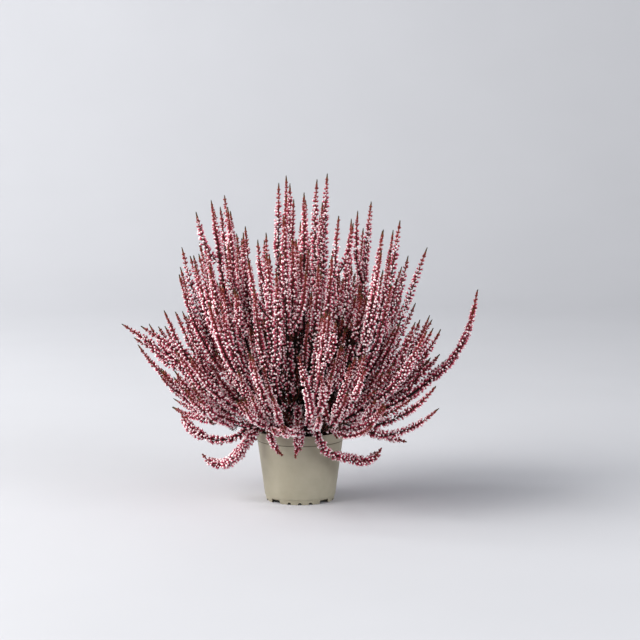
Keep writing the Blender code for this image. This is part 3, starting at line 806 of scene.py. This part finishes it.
def roundedProfile(points, radius=0.35 * mm, cuts=3):
    # each corner of the profile is rounded off a little
    made = [points[0]]
    for before, corner, after in zip(points, points[1:], points[2:]):
        before, corner, after = Vector(before), Vector(corner), Vector(after)
        near = min(radius, (corner - before).length * 0.4, (after - corner).length * 0.4)
        a = corner + (before - corner).normalized() * near
        b = corner + (after - corner).normalized() * near
        for cut in range(cuts + 1):
            t = cut / cuts
            made.append(tuple(a * (1 - t)**2 + corner * 2 * t * (1 - t) + b * t**2))
    return made + [points[-1]]


def turnedPiece(name, profile, sides):
    mesh = bpy.data.meshes.new(name)
    mesh.from_pydata([(r, 0, z) for r, z in profile], [(i, i + 1) for i in range(len(profile) - 1)], [])
    piece = bpy.data.objects.new(name, mesh)
    bpy.context.scene.collection.objects.link(piece)
    turn = piece.modifiers.new("turn", "SCREW")
    turn.steps = turn.render_steps = sides
    turn.use_merge_vertices = True
    turn.merge_threshold = 0.00001
    applyModifiers(piece)
    return piece


def applyModifiers(piece):
    bpy.context.view_layer.update()
    made = bpy.data.meshes.new_from_object(piece.evaluated_get(bpy.context.evaluated_depsgraph_get()))
    piece.modifiers.clear()
    piece.data = made


def notchCutters():
    p = potPlan
    shape = bmesh.new()
    low, inside, through = -1 * mm, p["baseRadius"] - p["footInset"] - p["footRing"] - 2 * mm, 8 * mm

    def cut(outline, degrees):
        turn = math.radians(degrees)
        way, across = Vector((math.cos(turn), math.sin(turn), 0)), Vector((-math.sin(turn), math.cos(turn), 0))
        rings = []
        for distance in (inside, inside + through):
            rings.append([shape.verts.new(way * distance + across * y + Vector((0, 0, z))) for y, z in outline])
        shape.faces.new(rings[0])
        shape.faces.new(rings[1][::-1])
        for a in range(len(outline)):
            b = (a + 1) % len(outline)
            shape.faces.new((rings[0][b], rings[0][a], rings[1][a], rings[1][b]))

    bottom, top, high = p["wideNotch"]
    wide = [(-bottom / 2, low), (bottom / 2, low), (top / 2, high), (-top / 2, high)]
    width, arch = p["smallNotch"]
    small = [(-width / 2, low), (width / 2, low)]
    small += [(width / 2 * math.cos(a), arch * math.sin(a)) for a in np.linspace(0.25, math.pi - 0.25, 9)]
    for quarter in range(4):
        cut(wide, 90 * quarter + 45)
        for step in (-1, 0, 1):
            cut(small, 90 * quarter + step * p["smallNotchStep"])
    radius, circle = p["drain"]
    for x, y in ((0, 0), (circle, 0), (-circle, 0), (0, circle), (0, -circle)):
        hole = bmesh.ops.create_cone(shape, cap_ends=True, segments=28, radius1=radius, radius2=radius, depth=0.02)
        bmesh.ops.translate(shape, verts=hole["verts"], vec=(x, y, 0))
    bmesh.ops.recalc_face_normals(shape, faces=shape.faces)
    mesh = bpy.data.meshes.new("notches")
    shape.to_mesh(mesh)
    shape.free()
    cutter = bpy.data.objects.new("notches", mesh)
    bpy.context.scene.collection.objects.link(cutter)
    return cutter


def makePot():
    p = potPlan
    rim, lip, foot = p["rimRadius"], p["lipRadius"], p["baseRadius"] - p["footInset"]
    band = p["height"] - p["bandHeight"]
    floor = p["underside"] + p["wall"]
    profile = [
        (0, floor), (potWall(floor) - p["wall"], floor), (potWall(band) - p["wall"], band - 1 * mm),
        (rim - p["wall"] - 0.2 * mm, band + 1 * mm), (rim - p["wall"], p["height"]), (lip, p["height"]),
        (lip, p["height"] - 1.8 * mm), (rim, p["height"] - 2.6 * mm), (rim - 0.2 * mm, band + 0.4 * mm),
        (potWall(band), band), (potWall(p["footHeight"]), p["footHeight"]), (foot, p["footHeight"] - 0.5 * mm),
        (foot - 1.0 * mm, 0), (foot - p["footRing"], 0), (foot - p["footRing"], p["underside"]), (0, p["underside"]),
    ]
    pot = turnedPiece("growerPot", roundedProfile(profile), p["sides"])
    cutter = notchCutters()
    cut = pot.modifiers.new("notches", "BOOLEAN")
    cut.operation, cut.solver, cut.object = "DIFFERENCE", "EXACT", cutter
    applyModifiers(pot)
    bpy.data.objects.remove(cutter)
    shape = bmesh.new()
    shape.from_mesh(pot.data)
    bmesh.ops.dissolve_degenerate(shape, edges=shape.edges, dist=0.002 * mm)
    for edge in shape.edges:
        if len(edge.link_faces) == 2:
            edge.smooth = edge.calc_face_angle() < math.radians(32)
    for face in shape.faces:
        face.smooth = True
    shape.to_mesh(pot.data)
    shape.free()
    pot.data.materials.append(materials["pot"])
    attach(pot, "root")
    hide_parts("pot")


makePot()
print("pot made")


# Compost

compostLow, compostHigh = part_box("compost")
compostPlan = {
    "rings": 42,
    "sides": 120,
    "level": compostHigh.z - 2.2 * mm,
    "edge": compostHigh.x - 0.2 * mm,
    "lump": 1.3 * mm,
    "crumbs": 1000,
    "crumbSize": (0.8 * mm, 3.2 * mm),
}


def compostLevel(x, y):
    p = compostPlan
    dome = 2.2 * mm * (1 - (x * x + y * y) / p["edge"]**2)
    lumps = np.sin(x * 210 + 1.1) * np.cos(y * 260 - 0.3) + 0.6 * np.sin(x * 470 + y * 390)
    lumps = lumps + 0.35 * np.sin(x * 1100 + 2) * np.sin(y * 1250 + x * 300)
    return p["level"] - 1.2 * mm + dome + p["lump"] * 0.5 * lumps


def makeCompost():
    p = compostPlan
    radius = p["edge"] * np.linspace(0, 1, p["rings"] + 1)[1:]
    turn = 2 * np.pi * np.arange(p["sides"]) / p["sides"]
    x, y = (radius[:, None] * np.cos(turn)).ravel(), (radius[:, None] * np.sin(turn)).ravel()
    top = np.stack([x, y, compostLevel(x, y)], 1)
    wallTop = potWall(p["level"] - 6 * mm) - potPlan["wall"] - 0.3 * mm
    skirtRadius = np.array([min(wallTop, p["edge"]), potWall(6 * mm) - potPlan["wall"] - 0.4 * mm])
    skirtHeight = np.array([p["level"] - 6 * mm, compostLow.z])
    skirt = np.stack([(skirtRadius[:, None] * np.cos(turn)).ravel(), (skirtRadius[:, None] * np.sin(turn)).ravel(),
                      np.repeat(skirtHeight, p["sides"])], 1)
    middle = np.array([[0, 0, float(compostLevel(0.0, 0.0))], [0, 0, compostLow.z]])
    corners = np.vstack([top, skirt, middle])
    sides, rings = p["sides"], p["rings"] + 2
    a = (np.arange(rings - 1)[:, None] * sides + np.arange(sides)).ravel()
    b = (np.arange(rings - 1)[:, None] * sides + (np.arange(sides) + 1) % sides).ravel()
    here, following = np.arange(sides), (np.arange(sides) + 1) % sides
    hub, last = rings * sides, (rings - 1) * sides
    faces = np.vstack([np.stack([a, a + sides, b + sides], 1), np.stack([a, b + sides, b], 1),
                       np.stack([here, following, np.full(sides, hub)], 1),
                       np.stack([last + following, last + here, np.full(sides, hub + 1)], 1)])
    bundle = Bundle()
    bundle.add(corners, faces, np.full((len(corners), 3), 0.5), 0)
    # crumbs of peat and bark that lie half in the surface
    count = p["crumbs"]
    away, angle = p["edge"] * 0.97 * np.sqrt(rng.random(count)), rng.uniform(0, 2 * np.pi, count)
    x, y = away * np.cos(angle), away * np.sin(angle)
    crumb = ringShape([(0.0, 0.35), (0.6, 0.5)], 5, 0.7)
    up = unit(rng.normal(0, 1, (count, 3)) * (1, 1, 0.6))
    face = unit(rng.normal(0, 1, (count, 3)))
    size = rng.uniform(*p["crumbSize"], count) * rng.uniform(0.4, 1, count)
    bundle.addCopies(crumb, np.stack([x, y, compostLevel(x, y)], 1) - up * (size * 0.5)[:, None], up, face,
                     size * 0.8, size, rng.random(count), 0.0, 0)
    piece = bundle.make("peatLump", ["peat"])
    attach(piece, "root")
    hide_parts("compost")


makeCompost()
print("compost made")


# Studio

studioPlan = {
    "floor": (197, 198, 202),
    "world": (0.86, 0.87, 0.90, 0.39),
    "keyPower": 120.0,
    "fillPower": 33.0,
    "wallPower": 58.0,
}


def makeFloor():
    # a floor that curves up into a wall far behind the plant
    profile = [(-3.5, 0.0), (2.1, 0.0)]
    profile += [(2.1 + 1.6 * math.sin(a), 1.6 - 1.6 * math.cos(a)) for a in np.linspace(0.1, math.pi / 2, 14)]
    profile.append((3.7, 4.5))
    shape = bmesh.new()
    rows = [[shape.verts.new((x, y, z)) for x in (-5.0, 5.0)] for y, z in profile]
    for low, high in zip(rows, rows[1:]):
        shape.faces.new((low[0], low[1], high[1], high[0])).smooth = True
    mesh = bpy.data.meshes.new("studioFloor")
    shape.to_mesh(mesh)
    shape.free()
    floor = bpy.data.objects.new("studioFloor", mesh)
    bpy.context.scene.collection.objects.link(floor)
    material, tree, shader = newMaterial("studioPaper")
    speck = noiseNode(tree, 3, 2).outputs[0]
    pale = srgb(studioPlan["floor"])
    tree.links.new(rampNode(tree, speck, [(0.3, studioPlan["floor"]), (0.7, tuple(c + 2 for c in studioPlan["floor"]))]),
                   shader.inputs["Base Color"])
    shader.inputs["Roughness"].default_value = 0.9
    mesh.materials.append(material)
    floor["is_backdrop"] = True


def softLight(name, place, target, size, power, colour):
    data = bpy.data.lights.new(name, "AREA")
    data.shape, data.size, data.energy, data.color = "DISK", size, power, colour
    lamp = bpy.data.objects.new(name, data)
    bpy.context.scene.collection.objects.link(lamp)
    lamp.location = place
    lamp.rotation_mode = "QUATERNION"
    lamp.rotation_quaternion = (Vector(target) - Vector(place)).to_track_quat("-Z", "Y")
    lamp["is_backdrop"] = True


makeFloor()
middle = (0, 0, 0.2)
softLight("keyLight", (-2.5, -1.1, 2.0), middle, 2.6, studioPlan["keyPower"], (1.0, 0.985, 0.96))
softLight("fillLight", (2.2, -1.6, 1.3), middle, 2.0, studioPlan["fillPower"], (0.96, 0.98, 1.0))
softLight("wallLight", (-2.5, 0.9, 2.4), (-1.0, 3.4, 1.2), 1.6, studioPlan["wallPower"], (1.0, 1.0, 1.0))
world = bpy.data.worlds.new("studioAir")
world.use_nodes = True
air = world.node_tree.nodes["Background"]
air.inputs["Color"].default_value = (*studioPlan["world"][:3], 1)
air.inputs["Strength"].default_value = studioPlan["world"][3]
bpy.context.scene.world = world

cameraPlan = {
    "distance": 3.0,
    "height": 0.637,
    "pitch": 7.4,  # degrees down
    "focalPixels": 2220,
    "imagePixels": 640,
    "potColumn": 299.8,  # where the pot's axis stands in the photo
}


def makeCamera():
    p = cameraPlan
    data = bpy.data.cameras.new("camera")
    data.sensor_width = 36
    data.lens = 36 * p["focalPixels"] / p["imagePixels"]
    camera = bpy.data.objects.new("camera", data)
    bpy.context.scene.collection.objects.link(camera)
    aside = (p["imagePixels"] / 2 - p["potColumn"]) / p["focalPixels"] * p["distance"]
    camera.location = (aside, -p["distance"], p["height"])
    camera.rotation_euler = (math.radians(90 - p["pitch"]), 0, 0)
    bpy.context.scene.camera = camera


makeCamera()
picture = bpy.context.scene.view_settings
picture.view_transform = "Standard"
picture.look = "Medium High Contrast"
print("studio and camera made")

total = sum(len(piece.data.loop_triangles) or len(piece.data.polygons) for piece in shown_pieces())
print("triangles in all:", total)
